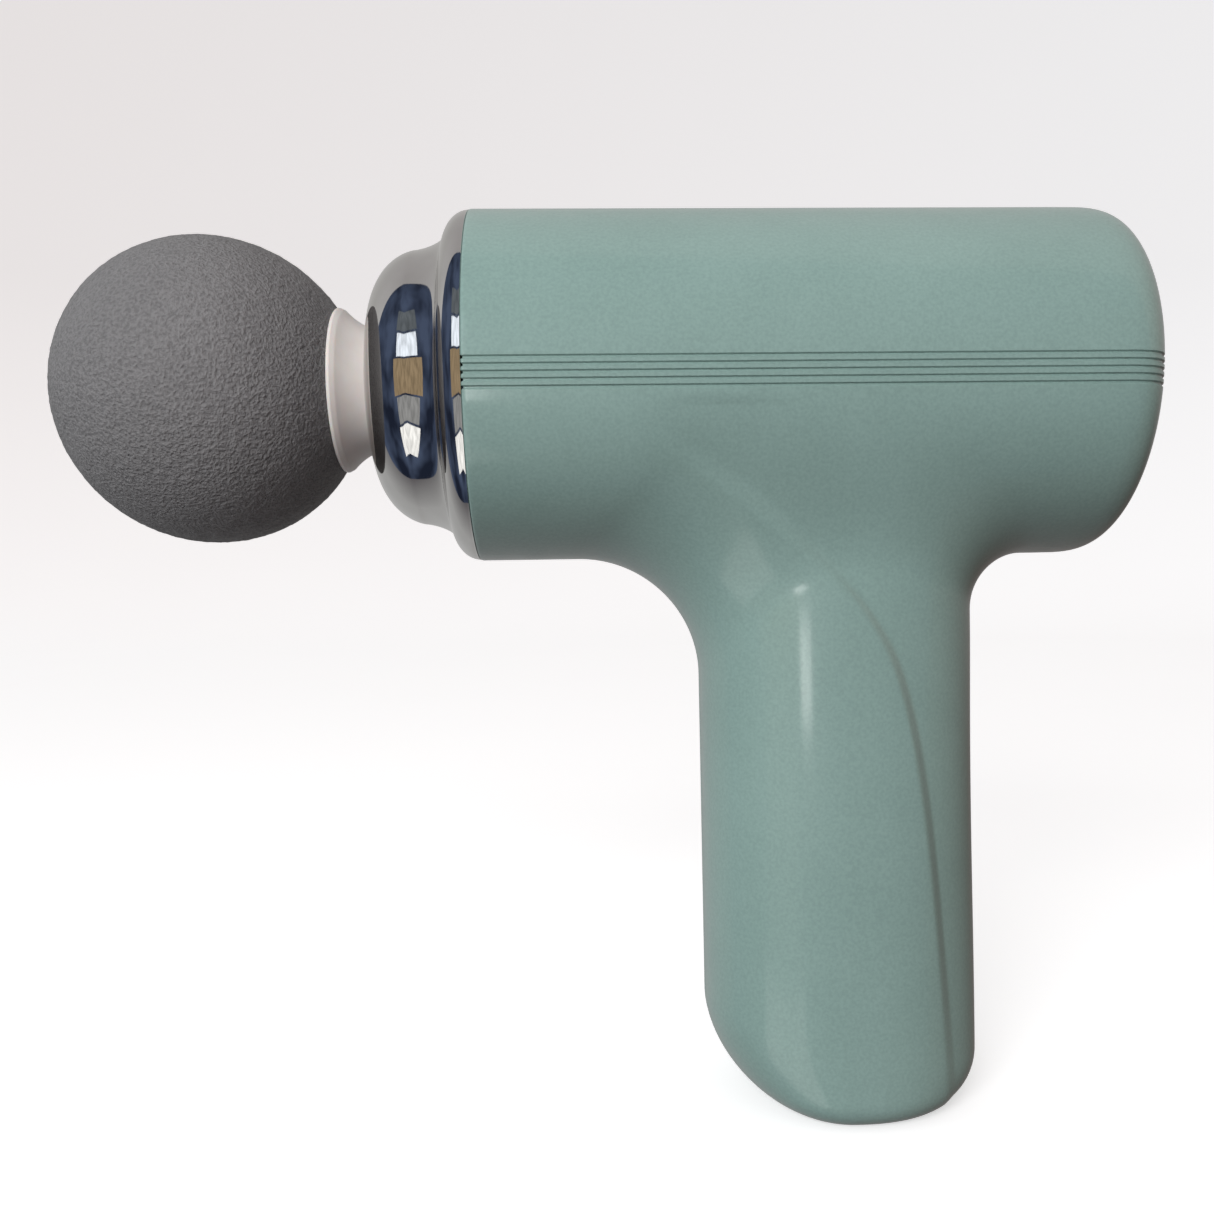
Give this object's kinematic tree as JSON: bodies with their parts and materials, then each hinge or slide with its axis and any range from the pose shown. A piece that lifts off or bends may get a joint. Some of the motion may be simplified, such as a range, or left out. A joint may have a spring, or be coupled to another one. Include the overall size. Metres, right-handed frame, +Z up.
{
  "type": "massage gun",
  "caption": "Pocket massage gun: T-shaped grooved body, chrome collar, pull-off foam ball head, motor-driven plunger, push button, charging socket.",
  "frame": {"origin": "on the flat base of the handle, on the handle's centre line", "axes": "+Z up the handle, -X along the barrel towards the massage head, +X towards the push button, Y across the body"},
  "size_m": [0.1388, 0.045, 0.118],
  "materials": {
    "shell_green": "satin moulded plastic, fine grain",
    "collar_chrome": "mirror chrome plating",
    "black_rubber": "matt rubber",
    "screw_steel": "plain steel",
    "plunger_aluminium": "polished aluminium",
    "frame_aluminium": "cast aluminium",
    "bush_bronze": "sintered bronze",
    "copper_wire": "enamelled copper wire",
    "wire_red": "insulated wire",
    "cable_grey": "flat cable",
    "head_white": "satin off-white plastic",
    "ball_foam": "closed-cell foam with a pebbled skin",
    "button_grey": "satin plastic",
    "black_plastic": "moulded plastic",
    "clear_plastic": "clear moulded plastic",
    "board_green": "printed circuit board",
    "cell_wrap": "steel can in shrink wrap",
    "insulator": "insulating sheet"
  },
  "bodies": {
    "housing": {"left_shell": "shell_green", "right_shell": "shell_green", "front_collar": "collar_chrome", "collar_seal": "black_rubber", "shell_screws": "screw_steel", "screw_plugs": "shell_green", "drive_frame": "frame_aluminium", "linear_bush": "bush_bronze", "front_damper": "black_rubber", "rear_damper": "black_rubber", "frame_screws": "screw_steel", "motor_base": "frame_aluminium", "motor_bearings": "screw_steel", "stator_core": "screw_steel", "stator_windings": "copper_wire", "motor_wires": "wire_red", "button_bezel": "collar_chrome", "tact_switch": "black_plastic", "control_board": "board_green", "light_guide": "clear_plastic", "control_cable": "cable_grey", "battery_cells": "cell_wrap", "battery_straps": "screw_steel", "battery_sleeve": "insulator", "main_board": "board_green", "board_components": "black_plastic", "usb_port": "collar_chrome", "usb_board": "board_green", "battery_leads": "wire_red"},
    "rotor": {"rotor_bell": "screw_steel", "rotor_magnets": "screw_steel", "motor_shaft": "screw_steel", "crank_wheel": "screw_steel"},
    "plunger_unit": {"plunger": "plunger_aluminium", "wrist_pin": "screw_steel", "socket_cushion": "black_rubber"},
    "rod_unit": {"connecting_rod": "frame_aluminium", "small_end_bush": "bush_bronze", "crank_bearing": "screw_steel", "crank_pin": "screw_steel"},
    "massage_head": {"head_base": "head_white", "ball_head": "ball_foam", "head_o_ring": "black_rubber"},
    "button_unit": {"power_button": "button_grey"}
  },
  "joints": [
    {"name": "crank_turn", "type": "hinge", "parent": "housing", "child": "rotor", "pos_m": [-0.001, 0, 0.0955], "axis": [0, 0, 1], "range_deg": [0, 180]},
    {"name": "plunger_slide", "type": "slide", "parent": "housing", "child": "plunger_unit", "axis": [-1, 0, 0], "range_m": [0, 0.007]},
    {"name": "rod_swing", "type": "hinge", "parent": "plunger_unit", "child": "rod_unit", "pos_m": [-0.0275, 0, 0.0955], "axis": [0, 0, 1], "range_deg": [-7, 7]},
    {"name": "head_pull", "type": "slide", "parent": "plunger_unit", "child": "massage_head", "axis": [-1, 0, 0], "range_m": [0, 0.02]},
    {"name": "button_press", "type": "slide", "parent": "housing", "child": "button_unit", "axis": [-1, 0, 0], "range_m": [0, 0.0005], "stiffness_N_per_m": 2500}
  ],
  "couplings": [
    {"joint": "crank_turn", "follows": "plunger_slide", "rad_per_m": 448.8}
  ]
}
